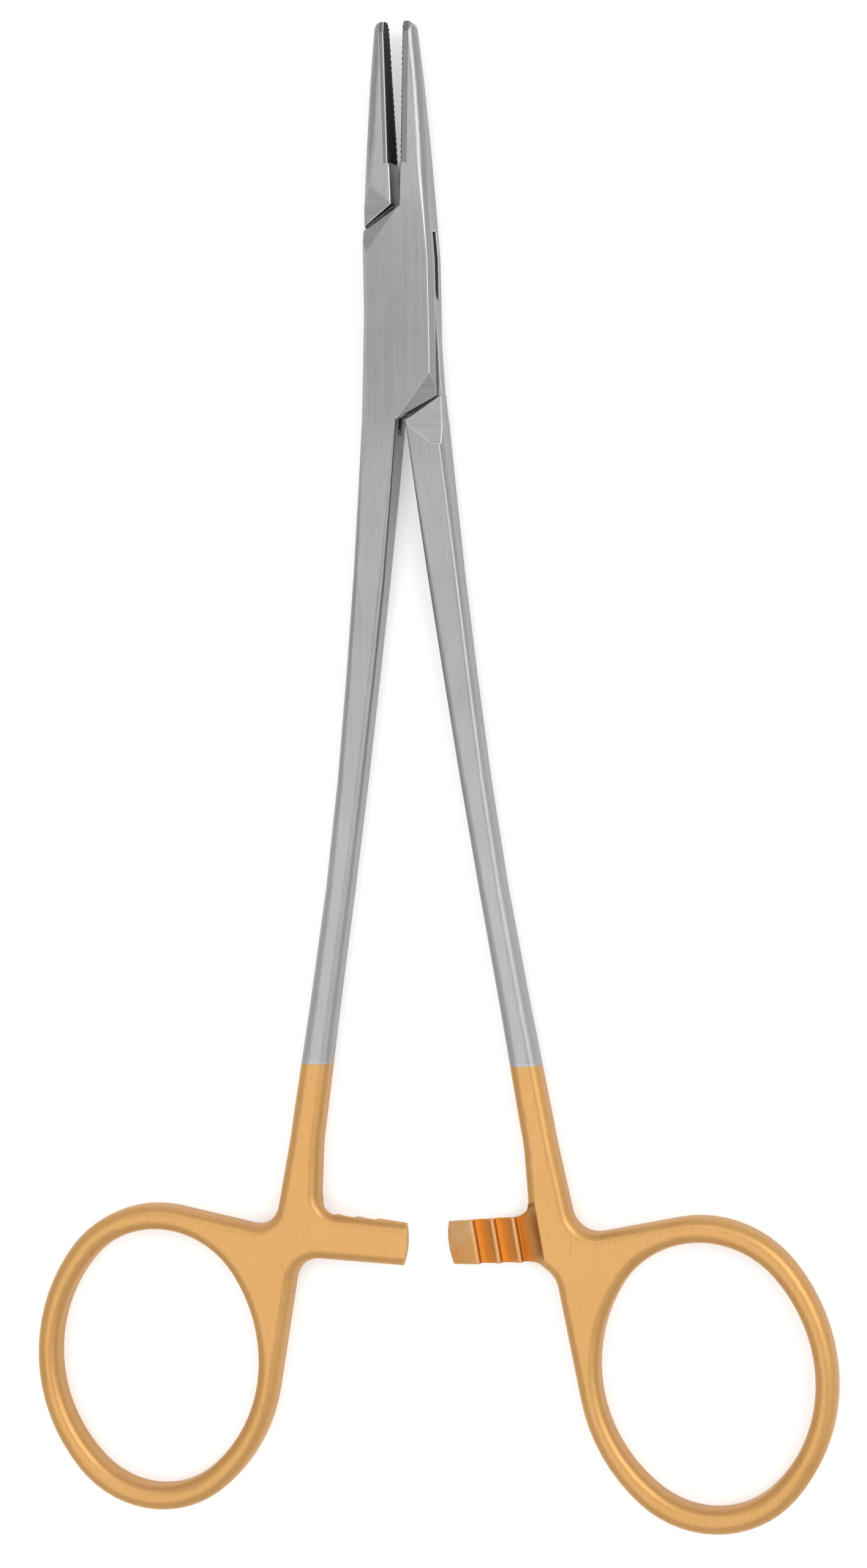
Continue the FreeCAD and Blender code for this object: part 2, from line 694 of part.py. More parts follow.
def tooth_grooves(side, lean):
    # Row of V grooves across a carbide face, leaning one way
    fall = (insert_gap_tip - insert_gap_start) / (jaw_reach - insert_start)
    length = jaw_reach - insert_start
    groove_half = tooth_pitch / 2
    step = tooth_pitch / math.cos(math.radians(tooth_angle))
    count = int((length + box_thickness) / step) + 2
    run = 2 * box_thickness
    profile = [
        Vector(tooth_depth, 0, 0),
        Vector(-tooth_depth, 2 * groove_half, 0),
        Vector(-tooth_depth, -2 * groove_half, 0),
    ]
    face = Part.Face(Part.makePolygon(profile + profile[:1]))
    grooves = []
    for number in range(count):
        y = insert_start - box_thickness / 2 + number * step
        cutter = face.extrude(Vector(0, 0, 2 * run))
        cutter.translate(Vector(0, 0, -run))
        cutter.rotate(Vector(0, 0, 0), Vector(1, 0, 0), tooth_angle * lean)
        cutter.translate(Vector(insert_gap_start + fall * (y - insert_start), y, middle))
        if side < 0:
            cutter = cutter.mirror(Vector(0, 0, 0), Vector(1, 0, 0))
        grooves.append(cutter)
    return grooves


def at_rest(shape, side):
    # Turn a closed half, or its carbide face, to the rest opening
    turned = shape.copy()
    turned.rotate(Vector(0, 0, 0), Vector(0, 0, 1), side * rest_opening / 2)
    return turned


def jaw_and_insert(half, side):
    # Cut the seat into a closed half and give its carbide face
    seat, body = insert_seat(side)
    face = half.common(body)
    for lean in (1, -1):
        face = face.cut(tooth_grooves(side, lean))
    return half.cut(seat), face


def build():
    box, box_insert = jaw_and_insert(box_half(), 1)
    tenon, tenon_insert = jaw_and_insert(tenon_half(), -1)
    return {
        "box_half": at_rest(box, -1),
        "box_insert": at_rest(box_insert, -1),
        "tenon_half": at_rest(tenon, 1),
        "tenon_insert": at_rest(tenon_insert, 1),
        "pivot_pin": pivot_pin(),
    }


os.makedirs("parts", exist_ok=True)
for name, shape in build().items():
    if len(shape.Solids) == 1:
        shape = shape.Solids[0]
    shape.exportStep("parts/" + name + ".step")
    print(name, "solids", len(shape.Solids), "valid", shape.isValid(), "volume", round(shape.Volume, 2))
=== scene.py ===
import bpy
import math
from mathutils import Matrix, Vector


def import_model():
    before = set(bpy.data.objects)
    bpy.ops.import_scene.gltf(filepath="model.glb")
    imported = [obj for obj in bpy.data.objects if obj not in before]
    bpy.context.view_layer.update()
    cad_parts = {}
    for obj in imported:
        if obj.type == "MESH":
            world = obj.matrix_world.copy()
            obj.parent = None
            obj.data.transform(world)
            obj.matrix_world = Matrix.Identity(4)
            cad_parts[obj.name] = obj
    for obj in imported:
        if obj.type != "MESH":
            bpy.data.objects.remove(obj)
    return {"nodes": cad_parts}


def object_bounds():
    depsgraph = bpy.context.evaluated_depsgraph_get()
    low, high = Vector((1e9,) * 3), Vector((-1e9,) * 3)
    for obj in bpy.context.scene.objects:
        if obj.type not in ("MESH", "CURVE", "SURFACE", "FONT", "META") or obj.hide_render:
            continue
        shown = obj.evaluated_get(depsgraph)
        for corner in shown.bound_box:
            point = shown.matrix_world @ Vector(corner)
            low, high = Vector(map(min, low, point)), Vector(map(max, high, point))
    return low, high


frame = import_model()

# Straight needle holder with carbide jaws and gold plated rings, lying on a pale table.
# Everything is in metres in the CAD frame: the pivot is at the origin, the tips point along +Y.

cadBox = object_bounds()
mm = 0.001
nodes = frame["nodes"]
print("frame loaded:", ", ".join(sorted(nodes)))


def linear(hexColour):
    # sRGB hex to the linear colour that Blender's sockets take
    parts = [int(hexColour[i:i + 2], 16) / 255 for i in (1, 3, 5)]
    return [p / 12.92 if p <= 0.04045 else ((p + 0.055) / 1.055) ** 2.4 for p in parts] + [1.0]


def node(tree, kind, settings=None, **links):
    # Adds a node: settings are its properties, and links its inputs, by name or by n and number.
    # An input is given a value, a socket, or another node, whose first output in use is then taken.
    made = tree.nodes.new(kind)
    for name, value in (settings or {}).items():
        setattr(made, name, value)
    for name, value in links.items():
        if name[0] == "n" and name[1:].isdigit():
            entry = made.inputs[int(name[1:])]
        else:
            entry = next(i for i in made.inputs if i.enabled and i.name == name.replace("_", " "))
        if isinstance(value, bpy.types.Node):
            value = next(o for o in value.outputs if o.enabled)
        if isinstance(value, bpy.types.NodeSocket):
            tree.links.new(value, entry)
        else:
            entry.default_value = value
    return made


# Settings that many nodes share
times = {"operation": "MULTIPLY"}
timesPlus = {"operation": "MULTIPLY_ADD"}
minus = {"operation": "SUBTRACT"}
larger = {"operation": "MAXIMUM"}
above = {"operation": "GREATER_THAN"}
under = {"operation": "LESS_THAN"}
unsigned = {"operation": "ABSOLUTE"}
dot = {"operation": "DOT_PRODUCT"}
smooth = {"interpolation_type": "SMOOTHSTEP"}
amounts = {"data_type": "FLOAT"}
colours = {"data_type": "RGBA"}
vectors = {"data_type": "VECTOR"}


def newMaterial(name):
    material = bpy.data.materials.new(name)
    material.use_nodes = True
    tree = material.node_tree
    tree.nodes.clear()
    output = node(tree, "ShaderNodeOutputMaterial")
    return material, tree, output


# The carbide inserts' place at rest, which both materials follow

insertPlace = {
    "gripStart": 0.553,           # mm from the middle line to the teeth's crests at the lower end
    "gripLean": 0.0235,           # and how that grows towards the tip
    "lowerEnd": 14.4,             # mm from the pivot
    "thickness": 0.58,            # mm
}


def intoJaw(tree, xyz):
    # Distance into the jaw from the teeth's crests
    i = insertPlace
    crest = (i["gripStart"] - i["gripLean"] * i["lowerEnd"]) * mm
    aside = node(tree, "ShaderNodeMath", unsigned, n0=xyz["X"])
    leaned = node(tree, "ShaderNodeMath", timesPlus, n0=xyz["Y"], n1=-i["gripLean"], n2=aside)
    return node(tree, "ShaderNodeMath", minus, n0=leaned, n1=crest)


# Steel and gold of the two forgings

forging = {
    "steelDark": "#7D7D7D",       # valleys of the brushing
    "steelLight": "#999999",      # crests of the brushing
    "shankDarkLit": "#8E8E8E",       # painted light: the lower shanks are painted lighter, standing in for the highlights on their rounded sides
    "shankLightLit": "#A4A4A4",
    "shankFrom": -22.0,           # mm from the pivot, where that begins
    "shankTo": -62.0,             # and where it is complete
    "steelHighlightAndMask": "#D2D2D2",       # painted highlight along the edges; also the lighter band above the plate
    "steelShadeAndScratch": "#1C1C1C",      # painted shade deep in the lock's gaps; also the colour of the scratches
    "goldDark": "#B2864D",
    "goldLight": "#C69B66",
    # painted highlight along the gold's edges
    "goldEdgeHighlight": "#E6C08C",
    "goldCreviceShade": "#AE7434",        # painted shade in crevices
    "goldValleyShade": "#CF7820",      # painted shade: deeper orange in the ratchet's valleys
    "goldScuffed": "#B9A58A",     # where the other arm slides over the lead-in
    "steelRoughness": 0.3,
    "shankRoughness": 0.4,
    "goldRoughness": 0.42,
    "markRoughness": 0.06,        # how much rougher the crests of the brushing are
    "markDepth": 0.01,            # mm
    "markStrength": 0.2,
    "brushWidth": 0.08,           # mm across one brush mark, a little coarser than the real one, to show
    "brushLength": 12.0,          # mm along it
    "brushLean": 5.6,             # degrees, along the shank
    "brushSpread": 0.32,          # how far the marks' tone goes to each side of the middle one
    "scratchWidth": 0.16,         # mm, the few deeper scratches of use and washing
    "scratchLength": 2.6,
    "scratchDepth": 0.16,         # how much they darken
    "scratchFrom": (0.68, 0.76),  # noise above which there is a scratch
    "scratchTurn": 0.1,           # radians
    "scratchShift": (3.0, 1.0, 2.0),
    "cloudSize": 6.0,             # mm, handling marks and uneven pressure of the belt
    "cloudShare": 0.4,            # of the tone, the rest is the marks
    "grindPitch": 0.17,           # mm between grinding lines on the lock's small facets
    "grindLength": 5.0,
    "grindTurn": 0.14,            # radians
    "facetTilt": (0.08, 0.12),    # how far a face has to lean along the instrument to be a facet
    "facetFront": (0.45, 0.5),    # and how far it has to face the front or the back
    "facetEnd": 13.2,             # mm from the pivot
    "edgeWidth": 0.19,            # mm, radius that polishing leaves on the edges
    "edgeHighlightShare": 0.42,            # share of the painted highlight colour there
    "edgeBend": (0.992, 0.965),   # how far polishing turns the surface where it counts as an edge
    "jawEdgeWidth": 0.5,          # mm, and on the jaws, which are polished more
    "jawEdgeFrom": (6.0, 12.0),   # mm above the pivot where that begins, and is complete
    "jawEdgeDeep": (0.9, 1.2),    # mm into the jaw, the same
    "brazeWidth": (0.2, 0.15),    # mm past the insert over which the brazed joint shows no edge
    "gapDepth": 1.2,              # mm, how near another wall has to be for the painted shade
    "gapOpen": (0.65, 0.2),       # how open the surface is where the painted shade begins, and is complete
    "goldShadeShare": 0.2,              # share of the painted shade colour in the handle's crevices
    "raySamples": 8,              # for the edges and the gaps
    "flatFront": (0.97, 0.985),   # how square to the front a face is that the belt has blended
    "forkAt": 10.25,              # mm from the pivot, where the lock's face meets the jaws and the shanks
    "forkSoft": 3.0,              # mm to each side over which the belt has blended them
    "jawFall": 0.0597,            # slope of the jaw's face towards its tip
    "shankFall": 0.036,           # slope of the shank's face towards the rings
    "shankLevelFrom": -17.0,      # mm from the pivot, where the shank begins to level out
    "shankLevelTo": -40.0,        # and where it is level
    "bendEnd": (20.0, 16.0),      # mm from the pivot, up the jaw, where the blending stops
    "bendFoot": (-60.0, -45.0),   # and down the shank
    "crown": 0.006,               # slope per mm that the belt leaves across the lock's face
    "crownEnd": (6.0, -2.0),      # mm past the fork where the crown ends, and is complete
    "pinClear": 2.0,              # mm round the pivot, where the ground pin leaves no edge
    "ratchetEnd": 13.2,           # mm to each side of the middle line
    "ratchetTop": -84.0,          # mm from the pivot
    "ratchetBottom": -97.0,
    "ratchetMiddle": 2.1,         # mm from the back, where the crests of both arms meet
    "ratchetDepth": (0.02, 0.6),  # mm under the crests, where the valleys' colour begins and is complete
    "ratchetFacing": 0.75,        # steeper faces keep the plain gold
    "valleyShadeShare": 0.85,          # share of the valleys' painted shade colour
    "leadIn": 4.8,                # mm from the middle line to the end of the lead-in
    "leadInSoft": 0.2,            # mm
    "leadInWorn": 0.7,            # how much less of the valleys' colour it has
    "scuffFrom": (0.5, 0.62),     # cloud above which the lead-in is scuffed
    "scuffShine": 0.6,
    "platingDrop": 74.0,          # mm below the pivot at the middle of the shank
    "platingSide": 10.6,          # mm from the middle line there
    "platingLean": 2.2,           # degrees
    "plateSoft": 0.03,            # mm to each side of the plate's edge
    "maskWidth": 0.3,             # mm, lighter band that the mask leaves above the plate
    "maskCore": 0.33333333,       # share of the band's half width that has its full tone
    "maskShine": 0.12,            # share of the band's lighter colour there
}


def brushedForging(name, side):
    # Satin stainless steel, brushed along the instrument, with satin gold plate on the handle.
    # To the eye: fine faint lines along the length, soft clouds, painted highlight on the edges and painted
    # shade in the gaps.
    # Side is -1 for the half with the left shank and 1 for the right.
    s = forging
    material, tree, output = newMaterial(name)
    place = node(tree, "ShaderNodeTexCoord").outputs["Object"]
    normal = node(tree, "ShaderNodeNewGeometry").outputs["Normal"]
    xyz = node(tree, "ShaderNodeSeparateXYZ", Vector=place).outputs
    facing = node(tree, "ShaderNodeSeparateXYZ", Vector=normal).outputs

    # Where the gold plate begins, and the lighter band that its mask leaves
    lean = math.radians(s["platingLean"])
    lineAt = s["platingSide"] * math.sin(lean) + s["platingDrop"] * math.cos(lean)
    halfMask = s["maskWidth"] / 2
    reach = node(tree, "ShaderNodeVectorMath", dot, n0=place, n1=(side * math.sin(lean), -math.cos(lean), 0))
    plated = node(tree, "ShaderNodeMapRange", Value=reach, From_Min=(lineAt - s["plateSoft"]) * mm,
                  From_Max=(lineAt + s["plateSoft"]) * mm)
    fromMask = node(tree, "ShaderNodeMath", minus, n0=reach, n1=(lineAt - halfMask) * mm)
    fromMask = node(tree, "ShaderNodeMath", unsigned, n0=fromMask)
    masked = node(tree, "ShaderNodeMapRange", Value=fromMask, From_Min=halfMask * mm,
                  From_Max=halfMask * s["maskCore"] * mm)
    masked = node(tree, "ShaderNodeMath", times, n0=masked, n1=s["maskShine"])

    # Edges eased by polishing, wider on the jaws and none round the ground pin
    deep = intoJaw(tree, xyz)
    upJaw = node(tree, "ShaderNodeMapRange", Value=xyz["Y"], From_Min=s["jawEdgeFrom"][0] * mm,
                 From_Max=s["jawEdgeFrom"][1] * mm)
    inJaw = node(tree, "ShaderNodeMapRange", Value=deep, From_Min=s["jawEdgeDeep"][0] * mm,
                 From_Max=s["jawEdgeDeep"][1] * mm)
    onJaw = node(tree, "ShaderNodeMath", times, n0=upJaw, n1=inJaw)
    easedBy = node(tree, "ShaderNodeMix", amounts, Factor=onJaw, A=s["edgeWidth"] * mm,
                   B=s["jawEdgeWidth"] * mm)
    flatPlace = node(tree, "ShaderNodeCombineXYZ", X=xyz["X"], Y=xyz["Y"])
    fromPin = node(tree, "ShaderNodeVectorMath", {"operation": "LENGTH"}, n0=flatPlace)
    offPin = node(tree, "ShaderNodeMath", above, n0=fromPin, n1=s["pinClear"] * mm)
    eased = node(tree, "ShaderNodeBevel", {"samples": s["raySamples"]}, Radius=easedBy)
    eased = node(tree, "ShaderNodeMix", vectors, Factor=offPin, A=normal, B=eased)
    easedY = node(tree, "ShaderNodeSeparateXYZ", Vector=eased).outputs["Y"]

    # The belt has blended the lock's face into the jaws and the shanks
    steep = node(tree, "ShaderNodeMath", unsigned, n0=facing["Z"])
    front = node(tree, "ShaderNodeMapRange", Value=steep, From_Min=s["flatFront"][0],
                 From_Max=s["flatFront"][1])
    jaw = node(tree, "ShaderNodeMapRange", smooth, Value=xyz["Y"],
               From_Min=(s["forkAt"] - s["forkSoft"]) * mm,
               From_Max=(s["forkAt"] + s["forkSoft"]) * mm)
    jaw = node(tree, "ShaderNodeMath", times, n0=jaw, n1=s["jawFall"])
    shank = node(tree, "ShaderNodeMapRange", smooth, Value=xyz["Y"],
                 From_Min=(s["forkSoft"] - s["forkAt"]) * mm,
                 From_Max=-(s["forkAt"] + s["forkSoft"]) * mm)
    falling = node(tree, "ShaderNodeMapRange", smooth, Value=xyz["Y"], From_Min=s["shankLevelTo"] * mm,
                   From_Max=s["shankLevelFrom"] * mm)
    shank = node(tree, "ShaderNodeMath", times, n0=shank, n1=falling)
    shank = node(tree, "ShaderNodeMath", times, n0=shank, n1=s["shankFall"])
    wanted = node(tree, "ShaderNodeMath", minus, n0=jaw, n1=shank)
    upTo = node(tree, "ShaderNodeMapRange", Value=xyz["Y"], From_Min=s["bendEnd"][0] * mm,
                From_Max=s["bendEnd"][1] * mm)
    downTo = node(tree, "ShaderNodeMapRange", Value=xyz["Y"], From_Min=s["bendFoot"][0] * mm,
                  From_Max=s["bendFoot"][1] * mm)
    blended = node(tree, "ShaderNodeMath", times, n0=upTo, n1=downTo)
    bend = node(tree, "ShaderNodeMath", minus, n0=wanted, n1=easedY)
    bend = node(tree, "ShaderNodeMath", times, n0=bend, n1=blended)
    bend = node(tree, "ShaderNodeMath", times, n0=bend, n1=front)

    # And has left it a little crowned
    fromMiddle = node(tree, "ShaderNodeMath", unsigned, n0=xyz["Y"])
    inLock = node(tree, "ShaderNodeMapRange", smooth, Value=fromMiddle,
                  From_Min=(s["forkAt"] + s["crownEnd"][0]) * mm,
                  From_Max=(s["forkAt"] + s["crownEnd"][1]) * mm)
    crown = node(tree, "ShaderNodeMath", times, n0=xyz["X"], n1=s["crown"] / mm)
    crown = node(tree, "ShaderNodeMath", times, n0=crown, n1=inLock)
    crown = node(tree, "ShaderNodeMath", times, n0=crown, n1=front)
    turned = node(tree, "ShaderNodeCombineXYZ", X=crown, Y=bend)
    belt = node(tree, "ShaderNodeVectorMath", {"operation": "ADD"}, n0=eased, n1=turned)
    belt = node(tree, "ShaderNodeVectorMath", {"operation": "NORMALIZE"}, n0=belt)

    # Painted highlight along the edges, except along the brazed joint, which is flush
    same = node(tree, "ShaderNodeVectorMath", dot, n0=eased, n1=normal)
    edgeHighlight = node(tree, "ShaderNodeMapRange", Value=same, From_Min=s["edgeBend"][0], From_Max=s["edgeBend"][1])
    brazed = node(tree, "ShaderNodeMapRange", Value=deep,
                  From_Min=(insertPlace["thickness"] + s["brazeWidth"][0]) * mm,
                  From_Max=(insertPlace["thickness"] + s["brazeWidth"][1]) * mm)
    byInsert = node(tree, "ShaderNodeMath", above, n0=xyz["Y"],
                    n1=(insertPlace["lowerEnd"] - s["brazeWidth"][0]) * mm)
    brazed = node(tree, "ShaderNodeMath", times, n0=brazed, n1=byInsert)
    unbrazed = node(tree, "ShaderNodeMath", minus, n0=1.0, n1=brazed)
    edgeHighlight = node(tree, "ShaderNodeMath", times, n0=edgeHighlight, n1=unbrazed)
    edgeHighlight = node(tree, "ShaderNodeMath", times, n0=edgeHighlight, n1=s["edgeHighlightShare"])

    # Painted shade in the gaps, darker where other walls are near
    openness = node(tree, "ShaderNodeAmbientOcclusion", {"samples": s["raySamples"]},
                    Distance=s["gapDepth"] * mm).outputs["AO"]
    gapShade = node(tree, "ShaderNodeMapRange", Value=openness, From_Min=s["gapOpen"][0], From_Max=s["gapOpen"][1])
    gapShade = node(tree, "ShaderNodeMath", times, n0=gapShade, n1=offPin)
    goldGapShade = node(tree, "ShaderNodeMath", times, n0=gapShade, n1=s["goldShadeShare"])

    # Painted shade in the ratchet's milled valleys, a deeper orange by depth under the crests, on the side of
    # the arm that faces the other arm
    acrossArm = node(tree, "ShaderNodeMath", unsigned, n0=xyz["X"])
    outwards = node(tree, "ShaderNodeMath", times, n0=facing["Z"], n1=side)
    inZone = node(tree, "ShaderNodeMath", under, n0=acrossArm, n1=s["ratchetEnd"] * mm)
    for kind, value, limit in ((under, xyz["Y"], s["ratchetTop"] * mm),
                               (above, xyz["Y"], s["ratchetBottom"] * mm),
                               (above, outwards, s["ratchetFacing"])):
        within = node(tree, "ShaderNodeMath", kind, n0=value, n1=limit)
        inZone = node(tree, "ShaderNodeMath", times, n0=inZone, n1=within)
    sunk = node(tree, "ShaderNodeMath", minus, n0=xyz["Z"], n1=s["ratchetMiddle"] * mm)
    sunk = node(tree, "ShaderNodeMath", times, n0=sunk, n1=-side)
    valleyShade = node(tree, "ShaderNodeMapRange", Value=sunk, From_Min=s["ratchetDepth"][0] * mm,
                  From_Max=s["ratchetDepth"][1] * mm)
    valleyShade = node(tree, "ShaderNodeMath", times, n0=valleyShade, n1=inZone)
    onLeadIn = node(tree, "ShaderNodeMapRange", Value=acrossArm,
                    From_Min=(s["leadIn"] + s["leadInSoft"]) * mm, From_Max=s["leadIn"] * mm)
    onLeadIn = node(tree, "ShaderNodeMath", times, n0=onLeadIn, n1=inZone)
    unworn = node(tree, "ShaderNodeMath", timesPlus, n0=onLeadIn, n1=-s["leadInWorn"], n2=1.0)
    valleyShade = node(tree, "ShaderNodeMath", times, n0=valleyShade, n1=unworn)
    valleyShade = node(tree, "ShaderNodeMath", times, n0=valleyShade, n1=s["valleyShadeShare"])

    # Brush marks are long along the shank and short across it
    brushed = node(tree, "ShaderNodeMapping", Vector=place,
                   Rotation=(0, 0, -side * math.radians(s["brushLean"])),
                   Scale=[1 / (s[size] * mm) for size in ("brushWidth", "brushLength", "brushWidth")])
    brush = node(tree, "ShaderNodeTexNoise", Vector=brushed, Scale=1.0, Detail=2.0, Roughness=0.5)
    cloud = node(tree, "ShaderNodeTexNoise", Vector=place, Scale=1 / (s["cloudSize"] * mm), Detail=3.0)

    # A few deeper scratches
    scored = node(tree, "ShaderNodeMapping", Vector=place, Location=s["scratchShift"],
                  Rotation=(0, 0, -side * s["scratchTurn"]),
                  Scale=[1 / (s[size] * mm) for size in ("scratchWidth", "scratchLength", "scratchLength")])
    scratch = node(tree, "ShaderNodeTexNoise", Vector=scored, Scale=1.0, Detail=1.0)
    scratch = node(tree, "ShaderNodeMapRange", Value=scratch, From_Min=s["scratchFrom"][0],
                   From_Max=s["scratchFrom"][1])
    scratch = node(tree, "ShaderNodeMath", times, n0=scratch, n1=s["scratchDepth"])

    # The lock's small facets are ground crosswise
    alongTilt = node(tree, "ShaderNodeMath", unsigned, n0=facing["Y"])
    tilted = node(tree, "ShaderNodeMapRange", Value=alongTilt, From_Min=s["facetTilt"][0],
                  From_Max=s["facetTilt"][1])
    flatEnough = node(tree, "ShaderNodeMapRange", Value=steep, From_Min=s["facetFront"][0],
                      From_Max=s["facetFront"][1])
    nearLock = node(tree, "ShaderNodeMath", under, n0=fromMiddle, n1=s["facetEnd"] * mm)
    facet = node(tree, "ShaderNodeMath", times, n0=tilted, n1=flatEnough)
    facet = node(tree, "ShaderNodeMath", times, n0=facet, n1=nearLock)
    ground = node(tree, "ShaderNodeMapping", Vector=place, Rotation=(0, 0, s["grindTurn"]),
                  Scale=[1 / (s[size] * mm) for size in ("grindLength", "grindPitch", "grindLength")])
    grind = node(tree, "ShaderNodeTexNoise", Vector=ground, Scale=1.0, Detail=1.0)
    marks = node(tree, "ShaderNodeMix", amounts, Factor=facet, A=brush, B=grind)
    tone = node(tree, "ShaderNodeMix", amounts, Factor=s["cloudShare"], A=marks, B=cloud)
    tone = node(tree, "ShaderNodeMapRange", Value=tone, From_Min=0.5 - s["brushSpread"],
                From_Max=0.5 + s["brushSpread"])

    # Steel, painted lighter down the shanks as painted light
    lower = node(tree, "ShaderNodeMapRange", smooth, Value=xyz["Y"], From_Min=s["shankFrom"] * mm,
                 From_Max=s["shankTo"] * mm)
    dark = node(tree, "ShaderNodeMix", colours, Factor=lower, A=linear(s["steelDark"]),
                B=linear(s["shankDarkLit"]))
    light = node(tree, "ShaderNodeMix", colours, Factor=lower, A=linear(s["steelLight"]),
                 B=linear(s["shankLightLit"]))
    steel = node(tree, "ShaderNodeMix", colours, Factor=tone, A=dark, B=light)
    # Painted highlight on the edges, painted shade in the gaps, and the lighter band that the mask leaves
    # above the plate
    for share, colour in ((edgeHighlight, "steelHighlightAndMask"), (gapShade, "steelShadeAndScratch"), (masked, "steelHighlightAndMask")):
        steel = node(tree, "ShaderNodeMix", colours, Factor=share, A=steel, B=linear(s[colour]))

    # Gold plate
    scuff = node(tree, "ShaderNodeMapRange", Value=cloud, From_Min=s["scuffFrom"][0],
                 From_Max=s["scuffFrom"][1])
    scuff = node(tree, "ShaderNodeMath", times, n0=scuff, n1=onLeadIn)
    scuff = node(tree, "ShaderNodeMath", times, n0=scuff, n1=s["scuffShine"])
    gold = node(tree, "ShaderNodeMix", colours, Factor=tone, A=linear(s["goldDark"]),
                B=linear(s["goldLight"]))
    # Painted highlight on the edges, painted shade in the crevices and in the ratchet's valleys, and the
    # scuffs on the lead-in
    for share, colour in ((edgeHighlight, "goldEdgeHighlight"), (goldGapShade, "goldCreviceShade"), (valleyShade, "goldValleyShade"),
                          (scuff, "goldScuffed")):
        gold = node(tree, "ShaderNodeMix", colours, Factor=share, A=gold, B=linear(s[colour]))

    colour = node(tree, "ShaderNodeMix", colours, Factor=plated, A=steel, B=gold)
    colour = node(tree, "ShaderNodeMix", colours, Factor=scratch, A=colour, B=linear(s["steelShadeAndScratch"]))
    rough = node(tree, "ShaderNodeMix", amounts, Factor=lower, A=s["steelRoughness"], B=s["shankRoughness"])
    rough = node(tree, "ShaderNodeMix", amounts, Factor=plated, A=rough, B=s["goldRoughness"])
    rough = node(tree, "ShaderNodeMath", timesPlus, n0=tone, n1=s["markRoughness"], n2=rough)
    bump = node(tree, "ShaderNodeBump", Strength=s["markStrength"], Distance=s["markDepth"] * mm,
                Height=marks, Normal=belt)
    shader = node(tree, "ShaderNodeBsdfPrincipled", Base_Color=colour, Metallic=1.0, Roughness=rough,
                  Normal=bump)
    tree.links.new(shader.outputs[0], output.inputs[0])
    return material


carbide = {
    "light": "#7A7A7A",
    "dark": "#686868",
    "toothLight": "#3C3C3C",      # spark-cut teeth are nearly black: partly their dull oxide, partly painted shade
    "toothDark": "#262626",
    # painted highlight on the edges near the teeth and on the left jaw's land
    "edgeHighlightColour": "#B0B0B0",
    "roughness": 0.42,
    "toothRoughness": 0.65,
    "toothMetal": 0.4,            # the spark leaves a dull oxide
    "toothSteep": (0.9, 0.8),     # faces steeper than this to the front are cut, not ground
    "toothDepth": 0.17,           # mm, with the burr along the crests
    "toothSoft": 0.04,            # mm
    "grainSize": 0.08,            # mm
    "grainDepth": 0.01,           # mm
    "grainStrength": 0.3,
    "edgeWidth": 0.07,            # mm
    "edgeBend": (0.99, 0.95),     # how far polishing turns the surface where it counts as an edge
    "edgeHighlightShare": 0.6,             # share of the painted highlight colour there
    "edgeDeep": 0.4,              # mm into the jaw, past which the edge is brazed and doesn't shine
    "edgeSamples": 6,
    "landWidth": 0.1,             # mm, land along the left jaw's teeth, painted the highlight colour
}


